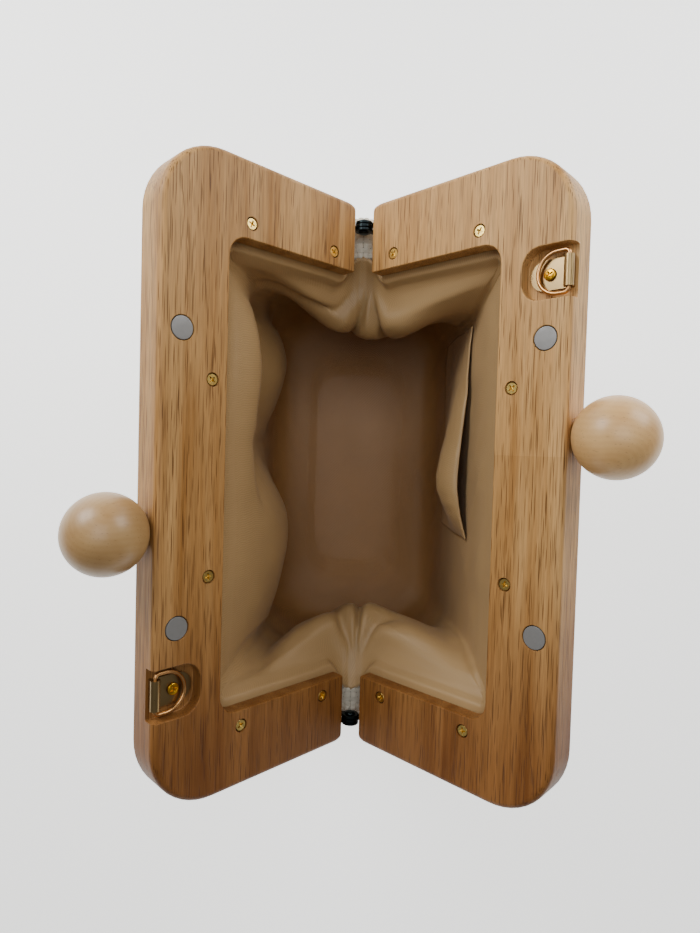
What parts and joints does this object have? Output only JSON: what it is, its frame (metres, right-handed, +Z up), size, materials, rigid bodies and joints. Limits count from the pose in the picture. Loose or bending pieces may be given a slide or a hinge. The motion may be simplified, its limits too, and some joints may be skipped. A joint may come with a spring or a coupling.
{
  "type": "straw handbag",
  "caption": "Straw handbag held open: two hinged wooden frame halves with ball knobs, magnets and D-rings, a woven straw body and a loose satin lining with a slip pocket.",
  "frame": {"origin": "centre of the flat straw base, on the ground", "axes": "+Z up out of the mouth, +Y along the hinge line, +X across the opening towards the frame half with the inner pocket"},
  "size_m": [0.2062, 0.25, 0.2033],
  "materials": {
    "frame_wood": "satin varnish",
    "ball_wood": "satin varnish",
    "screw_brass": "polished",
    "ring_gold": "polished",
    "magnet_nickel": "satin",
    "hinge_black": "satin",
    "straw": "matte woven",
    "lining_satin": "satin twill"
  },
  "bodies": {
    "bag": {"frame_right": "frame_wood", "ball_right": "ball_wood", "magnet_right_upper": "magnet_nickel", "screw_right_upper_arm_outer": "screw_brass", "screw_right_upper_arm_inner": "screw_brass", "screw_right_upper_bar": "screw_brass", "magnet_right_lower": "magnet_nickel", "screw_right_lower_arm_outer": "screw_brass", "screw_right_lower_arm_inner": "screw_brass", "screw_right_lower_bar": "screw_brass", "dring_plate_right": "ring_gold", "dring_screw_right": "screw_brass", "frame_left": "frame_wood", "ball_left": "ball_wood", "magnet_left_upper": "magnet_nickel", "screw_left_upper_arm_outer": "screw_brass", "screw_left_upper_arm_inner": "screw_brass", "screw_left_upper_bar": "screw_brass", "magnet_left_lower": "magnet_nickel", "screw_left_lower_arm_outer": "screw_brass", "screw_left_lower_arm_inner": "screw_brass", "screw_left_lower_bar": "screw_brass", "dring_plate_left": "ring_gold", "dring_screw_left": "screw_brass", "hinge_upper_fork": "hinge_black", "hinge_upper_lug": "hinge_black", "hinge_upper_rivet": "hinge_black", "hinge_lower_fork": "hinge_black", "hinge_lower_lug": "hinge_black", "hinge_lower_rivet": "hinge_black", "straw_body": "straw", "lining": "lining_satin", "lining_pocket": "lining_satin"},
    "dring_right": {"dring_right": "ring_gold"},
    "dring_left": {"dring_left": "ring_gold"}
  },
  "joints": [
    {"name": "dring_right_turn", "type": "hinge", "parent": "bag", "child": "dring_right", "pos_m": [0.07248, 0.0789, 0.18103], "axis": [0, 1, 0], "range_deg": [0, 150]},
    {"name": "dring_left_turn", "type": "hinge", "parent": "bag", "child": "dring_left", "pos_m": [-0.07248, -0.0789, 0.18103], "axis": [0, -1, 0], "range_deg": [0, 150]}
  ]
}
